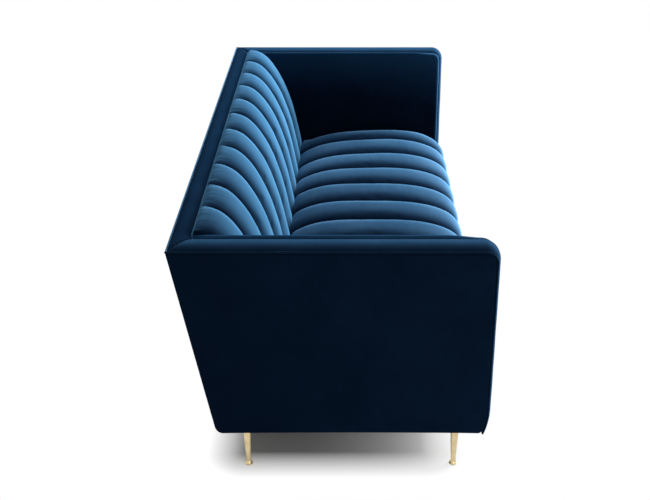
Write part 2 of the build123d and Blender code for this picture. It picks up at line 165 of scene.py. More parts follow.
# Lighter and darker copies of one velvet, partly nap laid its own way on each piece and partly painted
# light and shade: colours of its pile and of its tips, darker and paler, how far its tips show as it turns
# edge on, and where its tips are painted paler towards the front or its pile painted lighter towards the
# top
navyPile = ((0.0030, 0.0110, 0.0300, 1), (0.0052, 0.0180, 0.0450, 1))
armTips = ((0.055, 0.240, 0.520, 1), (0.080, 0.310, 0.640, 1))
velvetNapAndShade = {
    "seat_velvet": {
        "pile": navyPile,
        "tips": ((0.050, 0.195, 0.400, 1), (0.165, 0.415, 0.730, 1)),
        "power": 3.0,
        "limit": 1.0,
        "sheen": 0.08,
        # Tips painted paler towards the front roll: painted light from the front
        "paintedFrontLight": (-0.28, -0.47),
    },
    # A lighter copy for the back's channels: partly nap, partly painted light
    "back_velvet": {
        "pile": navyPile,
        "tips": ((0.078, 0.283, 0.540, 1), (0.115, 0.365, 0.665, 1)),
        "power": 2.8,
        "limit": 0.87,
        "sheen": 0.08,
    },
    "band_velvet": {
        "pile": navyPile,
        "tips": armTips,
        "power": 3.4,
        "limit": 0.61,
        "sheen": 0.03,
    },
    # Inside arms: pile painted darker low and lighter towards the top, painted shade and painted light
    "pad_velvet": {
        "pile": ((0.0008, 0.0026, 0.0080, 1), (0.0095, 0.0430, 0.1050, 1)),
        "tips": armTips,
        "power": 2.0,
        "limit": 0.57,
        "sheen": 0.03,
        "paintedTopLight": (0.50, 0.78),
    },
    # A darker copy for the panels, the back's band and the front border: partly nap, partly painted shade
    "panel_velvet": {
        "pile": ((0.0027, 0.0099, 0.0270, 1), (0.0047, 0.0162, 0.0405, 1)),
        "tips": ((0.001, 0.055, 0.150, 1), (0.003, 0.080, 0.205, 1)),
        "power": 4.0,
        "limit": 0.65,
        "sheen": 0.01,
    },
    # A paler copy for the back's welts: painted light on cords that sit shaded in their seams
    "welt_velvet": {
        "pile": navyPile,
        "tips": ((0.110, 0.340, 0.640, 1), (0.160, 0.430, 0.760, 1)),
        "power": 1.5,
        "limit": 1.0,
        "sheen": 0.05,
    },
}


def makeVelvet(name):
    cut = velvetNapAndShade[name]
    paint = newPaint(name)
    pressed = paint.spread(paint.cloud(*velvetLook["pressed"]), *velvetLook["pressedRange"])
    brushed = paint.spread(paint.cloud(*velvetLook["brushed"]), *velvetLook["brushedRange"])
    pile = paint.cloud(velvetLook["pileScale"])
    pressShare, brushShare, pileShare = velvetLook["napShares"]
    nap = pressed * pressShare + brushed * brushShare + pile * pileShare
    depth, tipShade = nap, nap
    # Tips painted paler towards the front: painted light
    if "paintedFrontLight" in cut:
        napShare, forwardShare = velvetLook["frontLightShares"]
        tipShade = nap * napShare + paint.spread(paint.axis("Y"), *cut["paintedFrontLight"]) * forwardShare
    # Pile painted lighter towards the top and darker low: painted light and painted shade
    if "paintedTopLight" in cut:
        napShare, upwardShare = velvetLook["upwardShares"]
        upward = paint.spread(paint.axis("Z"), *cut["paintedTopLight"]) ** velvetLook["upwardPower"]
        depth = nap * napShare + upward * upwardShare
    height = pile + brushed * velvetLook["brushHeight"]
    relief = paint.bump(height, velvetLook["bumpStrength"], velvetLook["pileHeight"])

    def layer(colour, roughness, tint):
        rough, smoother = velvetLook[roughness]
        return paint.surface({
            "Base Color": colour,
            "Roughness": rough - nap * smoother,
            "Specular IOR Level": velvetLook["shine"],
            "Sheen Weight": cut["sheen"],
            "Sheen Roughness": velvetLook["sheenRoughness"],
            "Sheen Tint": velvetLook[tint],
            "Normal": relief,
        })

    depths = layer(paint.mix(depth, *cut["pile"]), "pileRoughness", "sheenTint")
    tips = layer(paint.mix(tipShade, *cut["tips"]), "tipRoughness", "tipSheenTint")
    edgeOn = paint.node("ShaderNodeLayerWeight", None, {"Blend": 0.5}, "Facing")
    shown = edgeOn.atMost(cut["limit"]) ** cut["power"]
    return paint.finish(paint.node("ShaderNodeMixShader", None, {0: shown, 1: depths, 2: tips}))


# Satin brass of the legs
brassLook = {
    "warm": (0.62, 0.48, 0.25, 1),
    "pale": (0.72, 0.59, 0.35, 1),
    # scale, detail and stretch of the noise
    "rings": (900.0, 2.0, (0.02, 0.02, 1.0)),
    "ringBump": 0.25,
    "ringHeight": 0.0002,
    "tarnish": (38.0, 4.0),
    "tarnishRange": (0.35, 0.75),
    "roughness": (0.24, 0.10, 0.06),
}


def makeBrass():
    paint = newPaint("satin_brass")
    rings = paint.cloud(*brassLook["rings"])
    tarnish = paint.spread(paint.cloud(*brassLook["tarnish"]), *brassLook["tarnishRange"])
    clean, tarnished, ringed = brassLook["roughness"]
    return paint.finish(paint.surface({
        "Base Color": paint.mix(tarnish, brassLook["pale"], brassLook["warm"]),
        "Metallic": 1.0,
        "Roughness": clean + tarnish * tarnished + rings * ringed,
        "Normal": paint.bump(rings, brassLook["ringBump"], brassLook["ringHeight"]),
    }))


# Beech boards of the frame
woodLook = {
    "dark": (0.40, 0.26, 0.14, 1),
    "pale": (0.62, 0.45, 0.27, 1),
    # scale, detail, stretch and roughness of the noise
    "grain": (60.0, 6.0, (0.12, 1.0, 1.0), 0.6),
    "pores": (900.0, 2.0, (0.06, 1.0, 1.0), 0.5),
    "poreBump": 0.3,
    "poreHeight": 0.0003,
    "shares": (0.8, 0.2),
    "range": (0.30, 0.70),
    "roughness": (0.75, 0.18),
}


def makeWood():
    paint = newPaint("beech_board")
    grain = paint.cloud(*woodLook["grain"])
    pores = paint.cloud(*woodLook["pores"])
    grainShare, poreShare = woodLook["shares"]
    streak = paint.spread(grain * grainShare + pores * poreShare, *woodLook["range"])
    rough, smoother = woodLook["roughness"]
    return paint.finish(paint.surface({
        "Base Color": paint.mix(streak, woodLook["dark"], woodLook["pale"]),
        "Roughness": rough - streak * smoother,
        "Normal": paint.bump(pores, woodLook["poreBump"], woodLook["poreHeight"]),
    }))


# Steel of the springs and of the leg fixings
steelLook = {
    "dark": (0.20, 0.20, 0.21, 1),
    "pale": (0.44, 0.44, 0.45, 1),
    # scale and detail of the noise
    "bloom": (45.0, 5.0),
    "bloomRange": (0.30, 0.70),
    "bloomRoughness": 0.2,
    "grainScale": 700.0,
    "grainBump": 0.2,
    "grainHeight": 0.0002,
    "wireRoughness": 0.35,
    "plateRoughness": 0.28,
}


def makeSteel(name, roughness):
    paint = newPaint(name)
    bloom = paint.spread(paint.cloud(*steelLook["bloom"]), *steelLook["bloomRange"])
    grain = paint.cloud(steelLook["grainScale"])
    return paint.finish(paint.surface({
        "Base Color": paint.mix(bloom, steelLook["dark"], steelLook["pale"]),
        "Metallic": 1.0,
        "Roughness": roughness + bloom * steelLook["bloomRoughness"],
        "Normal": paint.bump(grain, steelLook["grainBump"], steelLook["grainHeight"]),
    }))


# Felt of the deck and of the glides: darker and paler colour, and scale of the fibres
feltLook = {
    "deck_felt": ((0.060, 0.060, 0.065, 1), (0.130, 0.130, 0.135, 1), 320.0),
    "glide_felt": ((0.020, 0.020, 0.021, 1), (0.045, 0.045, 0.047, 1), 500.0),
    "fibreDetail": 6.0,
    "fibreRough": 0.7,
    "lump": (22.0, 3.0),
    "shares": (0.6, 0.4),
    "range": (0.3, 0.7),
    "roughness": (0.98, 0.10),
    "bump": 0.6,
    "height": 0.001,
}


def makeFelt(name):
    paint = newPaint(name)
    dark, pale, scale = feltLook[name]
    fibre = paint.cloud(scale, feltLook["fibreDetail"], rough=feltLook["fibreRough"])
    lump = paint.cloud(*feltLook["lump"])
    fibreShare, lumpShare = feltLook["shares"]
    shade = paint.spread(fibre * fibreShare + lump * lumpShare, *feltLook["range"])
    rough, smoother = feltLook["roughness"]
    return paint.finish(paint.surface({
        "Base Color": paint.mix(shade, dark, pale),
        "Roughness": rough - fibre * smoother,
        "Normal": paint.bump(fibre, feltLook["bump"], feltLook["height"]),
    }))


# Woven webbing and dust cloth: darker and paler colour, and scale of the threads
weaveLook = {
    "jute_webbing": ((0.24, 0.19, 0.12, 1), (0.52, 0.44, 0.31, 1), 160.0),
    "dust_cloth": ((0.010, 0.010, 0.011, 1), (0.034, 0.034, 0.036, 1), 260.0),
    "wear": (30.0, 4.0),
    "shares": (0.7, 0.3),
    "roughness": (0.95, 0.12),
    "bump": 0.5,
    "height": 0.0006,
}


def makeWeave(name):
    paint = newPaint(name)
    dark, pale, scale = weaveLook[name]
    spot = {"Vector": paint.place(), "Scale": scale}
    warp = paint.node("ShaderNodeTexWave", {"wave_type": "BANDS", "bands_direction": "X"}, spot, "Fac")
    weft = paint.node("ShaderNodeTexWave", {"wave_type": "BANDS", "bands_direction": "Y"}, spot, "Fac")
    cross = warp * 0.5 + weft * 0.5
    wear = paint.cloud(*weaveLook["wear"])
    crossShare, wearShare = weaveLook["shares"]
    rough, smoother = weaveLook["roughness"]
    return paint.finish(paint.surface({
        "Base Color": paint.mix(cross * crossShare + wear * wearShare, dark, pale),
        "Roughness": rough - cross * smoother,
        "Normal": paint.bump(cross, weaveLook["bump"], weaveLook["height"]),
    }))


seatVelvet, backVelvet, bandVelvet, padVelvet, panelVelvet, weltVelvet = map(makeVelvet, velvetNapAndShade)
brass = makeBrass()
wood = makeWood()
springSteel = makeSteel("spring_wire", steelLook["wireRoughness"])
plateSteel = makeSteel("zinc_plate", steelLook["plateRoughness"])
felt = makeFelt("deck_felt")
webbing = makeWeave("jute_webbing")
dustCloth = makeWeave("dust_cloth")
glideFelt = makeFelt("glide_felt")
print("materials made")

# Finish of each solid that stays as it is; a name that ends in _ stands for a left and a right one
carriedOver = (
    (wood, ("front_rail", "back_rail", "back_top_rail", "cross_rail_middle", "back_upright_middle",
            "corner_blocks", "end_rail_", "cross_rail_", "back_upright_", "rear_post_", "arm_post_",
            "arm_top_rail_", "arm_tack_rail_")),
    (springSteel, ("seat_springs", "spring_clips_front", "spring_clips_rear")),
    (plateSteel, ("leg_plates", "plate_screws", "leg_bolts")),
    (felt, ("seat_deck",)),
    (webbing, ("back_webbing",)),
    (glideFelt, ("floor_glides",)),
    (brass, ("leg_front_", "leg_rear_")),
)
sides = (("left", -1), ("right", 1))
for finish, names in carriedOver:
    for name in names:
        pair = [name + side for side, sign in sides]
        for node in pair if name.endswith("_") else (name,):
            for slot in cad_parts[node].material_slots:
                slot.material = finish
print("carried-over solids finished")

# Lines that the soft pieces share, read from the frame
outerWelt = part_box("arm_welt_outer_right")
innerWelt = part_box("arm_welt_inner_right")
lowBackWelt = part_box("back_welt_front")
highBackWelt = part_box("back_welt_rear")
weltRadius = (outerWelt[1].x - outerWelt[0].x) / 2
softGap = 0.0003
seamReach = weltRadius + softGap
outerSeamX = outerWelt[1].x - weltRadius
innerSeamX = innerWelt[1].x - weltRadius
seamZ = outerWelt[1].z - weltRadius
seamFrontY = outerWelt[0].y + weltRadius
floorZ = outerWelt[0].z
frontSeamY = (lowBackWelt[0].y + lowBackWelt[1].y) / 2
rearSeamY = (highBackWelt[0].y + highBackWelt[1].y) / 2
rearY = cadBox[1].y
lean = math.radians(10.5)
cornerRadius = 0.034


# Depth of a plane that leans with the back, at a height and a distance in from the outer back
def leanY(z, inset):
    return rearY - (seamZ - z) * math.tan(lean) - inset / math.cos(lean)


# Point of the back at a distance up the lean and a distance in from the outer back
def backPoint(up, inward):
    y = leanY(floorZ, 0) + up * math.sin(lean) - inward * math.cos(lean)
    z = floorZ + up * math.cos(lean) + inward * math.sin(lean)
    return y, z


# Distance of each point of a line from its start
def runAlong(line):
    return np.concatenate(([0.0], np.cumsum(np.hypot(*np.diff(line, axis=0).T))))


# Even steps along a line of points
def evenSteps(points, count):
    points = np.array(points, float)
    along = runAlong(points)
    wanted = np.linspace(0.0, along[-1], count)
    return np.column_stack([np.interp(wanted, along, axis) for axis in points.T])


# Outward direction, in Y and Z, at each point of a line that runs from the rear to the front
def outward(line):
    run = np.gradient(line, axis=0)
    run /= np.linalg.norm(run, axis=1)[:, None]
    return np.column_stack((run[:, 1], -run[:, 0]))


def smoothStep(value):
    value = np.clip(value, 0.0, 1.0)
    return value * value * (3.0 - 2.0 * value)


# A closed skin over rings of points, capped at both ends
def skinRings(rings):
    count, around = rings.shape[:2]
    faces = []
    for ring in range(count - 1):
        for spot in range(around):
            beside = (spot + 1) % around
            low, high = ring * around, (ring + 1) * around
            faces.append((low + spot, low + beside, high + beside, high + spot))
    faces.append(tuple(range(around)))
    faces.append(tuple(range((count - 1) * around, count * around)))
    return rings.reshape(-1, 3), faces


def addPiece(name, points, faces, finish, slotName, nodes, fill=None):
    mesh = bpy.data.meshes.new(name)
    mesh.from_pydata([tuple(point) for point in points], [], faces)
    shape = bmesh.new()
    shape.from_mesh(mesh)
    bmesh.ops.recalc_face_normals(shape, faces=shape.faces)
    shape.to_mesh(mesh)
    shape.free()
    mesh.polygons.foreach_set("use_smooth", [True] * len(mesh.polygons))
    mesh.materials.append(finish)
    piece = bpy.data.objects.new(name, mesh)
    scene.collection.objects.link(piece)
    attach(piece, "root")
    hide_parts(*nodes)
    return piece


def readPoints(mesh):
    points = np.empty(len(mesh.vertices) * 3)
    mesh.vertices.foreach_get("co", points)
    return points.reshape(-1, 3)


# How the channelled covers fill out between their seams
clothRun = {
    "frames": 20,
    "quality": 6,
    "mass": 0.3,
    "stiffness": 35.0,
    "shearShare": 0.4,
    "bending": 2.0,
    "cap": 0.022,
}


def fillOut(piece, held, pressure, slack):
    group = piece.vertex_groups.new(name="sewn")
    group.add(np.flatnonzero(held).tolist(), 1.0, "REPLACE")
    start = readPoints(piece.data)
    cloth = piece.modifiers.new("fill", "CLOTH")
    run = cloth.settings
    run.quality = clothRun["quality"]
    run.mass = clothRun["mass"]
    run.vertex_group_mass = "sewn"
    run.use_pressure = True
    run.uniform_pressure_force = pressure
    run.tension_stiffness = clothRun["stiffness"]
    run.compression_stiffness = clothRun["stiffness"]
    run.shear_stiffness = clothRun["stiffness"] * clothRun["shearShare"]
    run.bending_stiffness = clothRun["bending"]
    run.shrink_min = -slack
    run.effector_weights.gravity = 0.0
    cloth.collision_settings.use_collision = False
    for step in range(1, clothRun["frames"] + 1):
        scene.frame_set(step)
    filled = piece.evaluated_get(bpy.context.evaluated_depsgraph_get())
    moved = readPoints(filled.data) - start
    far = np.linalg.norm(moved, axis=1)
    moved *= np.minimum(1.0, clothRun["cap"] / np.maximum(far, 1e-9))[:, None]
    piece.modifiers.remove(cloth)
    piece.data.vertices.foreach_set("co", (start + moved).ravel())
    piece.data.update()
    scene.frame_set(1)
    print(piece.name, "filled out by up to", round(float(far.max()) * 1000, 1), "mm")


# One subdivision with the sewn lines kept sharp, applied to the mesh
def subdivide(piece, sharp):
    mesh = piece.data
    crease = mesh.attributes.new("crease_edge", "FLOAT", "EDGE")
    ends = np.empty(len(mesh.edges) * 2, int)
    mesh.edges.foreach_get("vertices", ends)
    ends = sharp[ends.reshape(-1, 2)]
    crease.data.foreach_set("value", ((ends[:, 0] > 0) & (ends[:, 0] == ends[:, 1])).astype(np.float32))
    rounder = piece.modifiers.new("round", "SUBSURF")
    rounder.levels = 1
    rounder.render_levels = 1
    ready = piece.evaluated_get(bpy.context.evaluated_depsgraph_get())
    dense = bpy.data.meshes.new_from_object(ready)
    piece.modifiers.remove(rounder)
    piece.data = dense


# Channels of the seat and back
channels = {
    "count": 11,
    "columns": 20,
    "underRows": 5,
    "depth": 0.030,
    "fullness": 2.6,
    "endCrest": 0.42,
    "endSlope": 1.3,
    "endEdge": 0.15,
    "endEdgePower": 6,
    "seamWobble": 0.0014,
    "seamWidth": 3,
    "seamStep": 3.7,
    "wobbleWaves": 7.0,
    "unevenness": 0.0016,
    "swellStep": 2.3,
    "swellWaves": 4.0,
    "swellLayer": 5.0,
    "pleats": 75.0,
    "gatherLimit": 2.5,
    "sinkStart": 0.20,
    "sinkReach": 0.50,
    "fill": 0.9,
}
seatLow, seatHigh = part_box("seat_cover")


# Share of the depth that a channel lies below its crest, from its seam (0) to its other seam (1)
def lobeDrop(share):
    offset = abs(2.0 * share - 1.0)
    return 1.0 - (1.0 - offset ** channels["fullness"]) ** (1.0 / channels["fullness"])


# The same for the long side of an end channel, from its crest (0) down to the arm (1)
def endDrop(share):
    power = channels["endEdgePower"]
    edge = 1.0 - (1.0 - share ** power) ** (1.0 / power)
    return (1 - channels["endEdge"]) * share ** channels["endSlope"] + channels["endEdge"] * edge


# Rings of a channelled pad: a line from one hem over the crest to the other, and its flat underside
def channelRings(line, under, depths, endDepths, look):
    columns, seed = channels["columns"], look["seed"]
    last = channels["count"] * columns
    wide = 2 * seatHigh.x / channels["count"]
    face = outward(line)
    along = np.linspace(0.0, 1.0, len(line))
    sinks = look.get("sinks", 0 * along)
    rings = []
    for column in range(last + 1):
        channel = min(column // columns, channels["count"] - 1)
        share = 0.5 + 0.5 * math.sin(math.pi * (column / columns - channel - 0.5))
        x = -seatHigh.x + (channel + share) * wide
        seamIndex = channel + (share > 0.5)
        nearSeam = abs(2 * share - 1) ** channels["seamWidth"] * (0 < seamIndex < channels["count"])
        fall, deep = lobeDrop(share), depths
        if endDepths is not None and channel in (0, channels["count"] - 1):
            fromSeam = 1 - share if channel == 0 else share
            crest = channels["endCrest"]
            if fromSeam > crest:
                fall, deep = endDrop((fromSeam - crest) / (1 - crest)), endDepths
            else:
                fall = lobeDrop(0.5 * fromSeam / crest)
        sunk = smoothStep((abs(x) - channels["sinkStart"]) / channels["sinkReach"])
        seamPlace = seamIndex * channels["seamStep"] + seed
        swellPlace = channel * channels["swellStep"] + seed
        ring = []
        for (y, z), (ny, nz), spot, depth, sink in zip(line, face, along, deep, sinks):
            wobble = noise.noise(Vector((seamPlace, spot * channels["wobbleWaves"], 0.0)))
            swell = noise.noise(Vector((swellPlace, spot * channels["swellWaves"], channels["swellLayer"])))
            drop = depth * fall - channels["unevenness"] * swell * (1 - fall)
            aside = channels["seamWobble"] * wobble * nearSeam
            ring.append((x + aside, y - ny * drop, z - nz * drop - sink * sunk))
        ring += [(x, y, z) for y, z in under]
        rings.append(ring)
    return np.array(rings)


# Small gathers where a cover is pulled into its hem
def gatherHem(pad, look):
    points = readPoints(pad.data)
    normals = np.empty(points.size)
    pad.data.vertices.foreach_get("normal", normals)
    normals = normals.reshape(-1, 3)
    away = np.hypot(points[:, 1] - look["hem"][0], points[:, 2] - look["hem"][1]) / look["gatherReach"]
    for spot in np.flatnonzero(away < channels["gatherLimit"]):
        pleat = noise.noise(Vector((points[spot, 0] * channels["pleats"], away[spot], look["seed"])))
        points[spot] += normals[spot] * pleat * look["gather"] * math.exp(-away[spot] ** 2)
    pad.data.vertices.foreach_set("co", points.ravel())
    pad.data.update()


def channelPad(name, line, under, depths, endDepths, look, finish, nodes):
    rings = channelRings(line, under, depths, endDepths, look)
    points, faces = skinRings(rings)
    pad = addPiece(name, points, faces, finish, "velvet", nodes, channels["fill"])
    held = np.zeros(rings.shape[:2], bool)
    held[::channels["columns"]] = True
    held[:, len(line) - 1:] = True
    held[:, 0] = True
    fillOut(pad, held.ravel(), look["pressure"], look["slack"])
    sharp = np.zeros(rings.shape[:2], int)
    for seam in range(channels["count"] + 1):
        sharp[seam * channels["columns"], :len(line)] = seam + 1
    subdivide(pad, sharp.ravel())
    gatherHem(pad, look)


# Points of a quarter of a full oval, from its top to its side
def quarterOval(power, count):
    turns = np.radians(np.linspace(0, 90, count))
    return np.column_stack((np.sin(turns) ** (2 / power), np.cos(turns) ** (2 / power)))


# Seat: rises from the crease, runs forward to the crest and rolls over the front edge
seat = {
    "seed": 1.0,
    "pressure": 1.2,
    "slack": 0.003,
    "gather": 0.0010,
    "gatherReach": 0.06,
    "rows": 74,
    "steps": {"crease": 12, "run": 40, "roll": 60, "hem": 6},
    "rearDrop": 0.060,
    "rearCurve": 4,
    "rollReach": 0.305,
    "rollDrop": 0.135,
    "rollFullness": 2.5,
    "frontSwell": 0.010,
    "creaseRound": 0.020,
    "creaseStart": 0.020,
    "creaseEnd": 0.095,
    "backThickness": 0.2123,
    "underFront": 0.03,
    "underRear": 0.02,
    "hemTuck": 0.010,
    "hemDepth": 0.003,
    "hemReach": 0.035,
    "endStart": 0.055,
    "endReach": 0.130,
    "endDepth": 0.058,
    "endFrontDepth": 0.030,
    "endFade": (0.5, 0.3),
    "endSink": 0.018,
    "endSinkStart": 0.06,
    "endSinkReach": 0.50,
}
seatRearZ = seatHigh.z - seat["rearDrop"]
seatRearY = leanY(seatRearZ, seat["backThickness"])


def seatLine():
    crestY = seatLow.y + seat["rollReach"]
    rollZ = seatHigh.z - seat["rollDrop"]
    reach, steps = seat["creaseRound"], seat["steps"]

    def runZ(y):
        return seatHigh.z - seat["rearDrop"] * ((y - crestY) / (seatRearY - crestY)) ** seat["rearCurve"]

    lowEnd = (leanY(seatRearZ - reach, seat["backThickness"]), seatRearZ - reach)
    highEnd = (seatRearY - reach, runZ(seatRearY - reach))
    line = [(leanY(seatLow.z, seat["backThickness"]), seatLow.z)]
    for share in np.linspace(0.0, 1.0, steps["crease"]):
        near, middle, far = (1 - share) ** 2, 2 * share * (1 - share), share ** 2
        line.append(tuple(near * low + middle * mid + far * high
                          for low, mid, high in zip(lowEnd, (seatRearY, seatRearZ), highEnd)))
    line += [(y, runZ(y)) for y in np.linspace(highEnd[0], crestY, steps["run"])[1:]]
    frontY = seatLow.y - seat["frontSwell"]
    for out, up in quarterOval(seat["rollFullness"], steps["roll"])[1:]:
        line.append((crestY + (frontY - crestY) * out, rollZ + seat["rollDrop"] * up))
    for share in np.linspace(0.0, 1.0, steps["hem"])[1:]:
        line.append((frontY + seat["hemTuck"] * share ** 2, rollZ + (seatLow.z - rollZ) * share))
    return evenSteps(line, seat["rows"])


def addSeat():
    line = seatLine()
    underEnds = (line[-1][0] + seat["underFront"], line[0][0] - seat["underRear"])
    under = [(y, seatLow.z) for y in np.linspace(*underEnds, channels["underRows"])]
    run = runAlong(line)
    opening = smoothStep((run - seat["creaseStart"]) / (seat["creaseEnd"] - seat["creaseStart"]))
    closing = smoothStep((run[-1] - run) / seat["hemReach"])
    depths = channels["depth"] * opening - (channels["depth"] - seat["hemDepth"]) * (1 - closing)
    fadeStart, fadeReach = (share * run[-1] for share in seat["endFade"])
    endDepths = seat["endDepth"] * smoothStep((run - seat["endStart"]) / seat["endReach"])
    endDepths -= (seat["endDepth"] - seat["endFrontDepth"]) * smoothStep((run - fadeStart) / fadeReach)
    endDepths -= (seat["endFrontDepth"] - seat["hemDepth"]) * (1 - closing)
    sinks = seat["endSink"] * smoothStep(run / seat["endSinkStart"])
    sinks *= 1 - smoothStep((run - seat["endSinkStart"]) / seat["endSinkReach"])
    look = {**seat, "sinks": sinks, "hem": (seatRearY, seatRearZ)}
    channelPad("seat_pad", line, under, depths, endDepths, look, seatVelvet, ("seat_cover", "seat_foam"))


addSeat()
print("seat made")

# Back: rises from behind the seat and rolls over into the seam of the top band
back = {
    "seed": 40.0,
    "pressure": 2.8,
    "slack": 0.007,
    "gather": 0.0018,
    "gatherReach": 0.045,
    "rows": 76,
    "steps": {"hem": 24, "roll": 60},
    "thickness": 0.212,
    "base": 0.064,
    "tuck": 0.130,
    "tuckReach": 0.075,
    "underTop": 0.55,
    "rollUp": 0.270,
    "rollFullness": 2.15,
    "crestUp": 0.619,
    "crestInward": 0.085,
    "hemUp": 0.603,
    "hemInward": 0.0645,
    "hemFullness": 3.0,
    "hemStart": 0.575,
    "hemDepth": 0.002,
    "hemEase": 0.030,
    "hemReach": 0.070,
}


def backLine():
    hemRise = back["crestUp"] - back["hemUp"]
    hemRun = back["crestInward"] - back["hemInward"]
    rollRise = back["crestUp"] - back["rollUp"]
    rollRun = back["thickness"] - back["crestInward"]
    line = [backPoint(back["hemStart"], back["hemInward"])]
    for out, rise in quarterOval(back["hemFullness"], back["steps"]["hem"])[:0:-1]:
        line.append(backPoint(back["hemUp"] + hemRise * rise, back["crestInward"] - hemRun * out))
    for out, rise in quarterOval(back["rollFullness"], back["steps"]["roll"]):
        line.append(backPoint(back["rollUp"] + rollRise * rise, back["crestInward"] + rollRun * out))
    line.append(backPoint(back["tuck"], back["thickness"]))
    return evenSteps(line, back["rows"])


def addBack():
    line = backLine()
    underSteps = np.linspace(back["tuck"], back["underTop"], channels["underRows"])
    under = [backPoint(up, back["base"]) for up in underSteps]
    run = runAlong(line)
    opening = smoothStep((run - back["hemEase"]) / back["hemReach"])
    closing = smoothStep((run[-1] - run) / back["tuckReach"])
    depths = back["hemDepth"] + (channels["depth"] - back["hemDepth"]) * opening
    depths -= channels["depth"] * (1 - closing)
    look = {**back, "hem": backPoint(back["hemUp"], back["hemInward"])}
    channelPad("back_pad", line, under, depths, None, look, backVelvet, ("back_cover", "back_foam"))


addBack()
print("back made")

# Fronts of the arms tuck back a little near the floor
armFoot = {
    "tuck": 0.013,
    "innerShare": 0.15,
    "height": 0.075,
    "bottomRise": 0.004,
    "bottomReach": 0.08,
}


def frontTuck(z):
    return armFoot["tuck"] * np.clip(1.0 - (z - floorZ) / armFoot["height"], 0.0, 1.0) ** 2


# Steps along an arm, and the ones that crowd towards a mitre
armSteps = {"top": 36, "corner": 13, "front": 34}
mitreSteps = np.array((0.0, 0.0006, 0.002, 0.004, 0.007, 0.011, 0.016))


# Seam line of an arm from its rear end over the front corner to the floor
def armLine(rearEnd):
    corner = seamFrontY + cornerRadius
    rest = np.linspace(rearEnd - mitreSteps[-1], corner, armSteps["top"])[1:]
    line = [(y, seamZ) for y in (*(rearEnd - mitreSteps), *rest)]
    for turn in np.radians(np.linspace(0, 90, armSteps["corner"])[1:]):
        line.append((corner - cornerRadius * math.sin(turn), seamZ - cornerRadius * (1 - math.cos(turn))))
    for z in np.linspace(seamZ - cornerRadius, floorZ, armSteps["front"])[1:]:
        line.append((seamFrontY, z))
    return np.array(line)


# Bands: crowned strips between the welts, rounded off where they meet at the mitre
bandLook = {
    "crown": 0.0108,
    "frontCrown": 1.06,
    "fullness": 2.35,
    "steepness": 0.82,
    "across": 17,
    "backSteps": 44,
    "endRound": 0.014,
    "endLeast": 0.02,
    "ripple": 0.0006,
    "armWaves": (9, 12, 12),
    "backWaves": 12,
    "backLayer": 3.0,
    "fill": 0.8,
}
bandInnerX = innerSeamX + seamReach
bandOuterX = outerSeamX - seamReach
bandFrontY = frontSeamY + seamReach
bandRearY = rearSeamY - seamReach
bandShares = np.sin(np.radians(np.linspace(-90, 90, bandLook["across"])))
bandCrown = bandLook["crown"] * (1 - np.abs(bandShares) ** bandLook["fullness"]) ** bandLook["steepness"]
# Share of the width and height of the crown, over the top and back along the flat underside
bandProfile = [*zip(bandShares, bandCrown), (1.0, None), (0.0, None), (-1.0, None)]


def bandRise(crown, distance, spot):
    share = np.clip(distance / bandLook["endRound"], bandLook["endLeast"], 1.0)
    ripple = bandLook["ripple"] / bandLook["crown"] * noise.noise(spot)
    return crown * (math.sqrt(1 - (1 - share) ** 2) + ripple)


def addArmBand(side, sign):
    line = armLine(bandRearY)
    corner = seamFrontY + cornerRadius
    middle, half = (bandInnerX + bandOuterX) / 2, (bandOuterX - bandInnerX) / 2
    rings = []
    for (y, z), (ny, nz) in zip(line, outward(line)):
        ring = []
        for share, crown in bandProfile:
            mitreY = bandFrontY + (share + 1) / 2 * (bandRearY - bandFrontY) - softGap
            stretch = (mitreY - corner) / (bandRearY - corner)
            spotY = corner + (y - corner) * stretch if y > corner else y
            spotY += frontTuck(z) * (armFoot["innerShare"] + (1 - armFoot["innerShare"]) * (share + 1) / 2)
            x = sign * (middle + share * half)
            rise = -seamReach
            if crown is not None:
                spot = Vector([axis * waves for axis, waves in zip((x, y, z), bandLook["armWaves"])])
                rise = bandRise(crown, bandRearY - y, spot)
                rise *= 1 - (1 - bandLook["frontCrown"]) * abs(ny)
            ring.append((x, spotY + ny * rise, z + nz * rise))
        rings.append(ring)
    name = f"arm_band_{side}"
    addPiece(f"{name}_cover", *skinRings(np.array(rings)), bandVelvet, "velvet", (name,), bandLook["fill"])


def addBackBand():
    steps = np.linspace(mitreSteps[-1], bandOuterX, bandLook["backSteps"])[1:]
    steps = np.concatenate((mitreSteps, steps))
    places = np.concatenate((bandOuterX - steps, -(bandOuterX - steps[-2::-1])))
    middle, half = (bandFrontY + bandRearY) / 2, (bandRearY - bandFrontY) / 2
    rings = []
    for place in places:
        ring = []
        for share, crown in bandProfile:
            mitreX = bandInnerX + (share + 1) / 2 * (bandOuterX - bandInnerX) - softGap
            x = place * mitreX / bandOuterX
            rise = -seamReach
            if crown is not None:
                spot = Vector((x * bandLook["backWaves"], bandLook["backLayer"], share))
                rise = bandRise(crown, bandOuterX - abs(place), spot)
            ring.append((x, middle + share * half, seamZ + rise))
        rings.append(ring)
    points, faces = skinRings(np.array(rings))
    addPiece("back_band_cover", points, faces, panelVelvet, "velvet", ("back_band",), bandLook["fill"])


for side, sign in sides:
    addArmBand(side, sign)
addBackBand()
print("bands made")

# Welts: sewn cords in the seams
weltLook = {
    "outerStand": 0.0005,
    "innerStand": 0.0,
    "frontStand": 0.0045,
    "rearStand": 0.0005,
    "endDip": 0.014,
    "around": 12,
    "pucker": 0.04,
    "stitch": 0.011,
    "stitchSteps": 4,
}


def countSteps(length):
    return int(length / weltLook["stitch"] * weltLook["stitchSteps"])


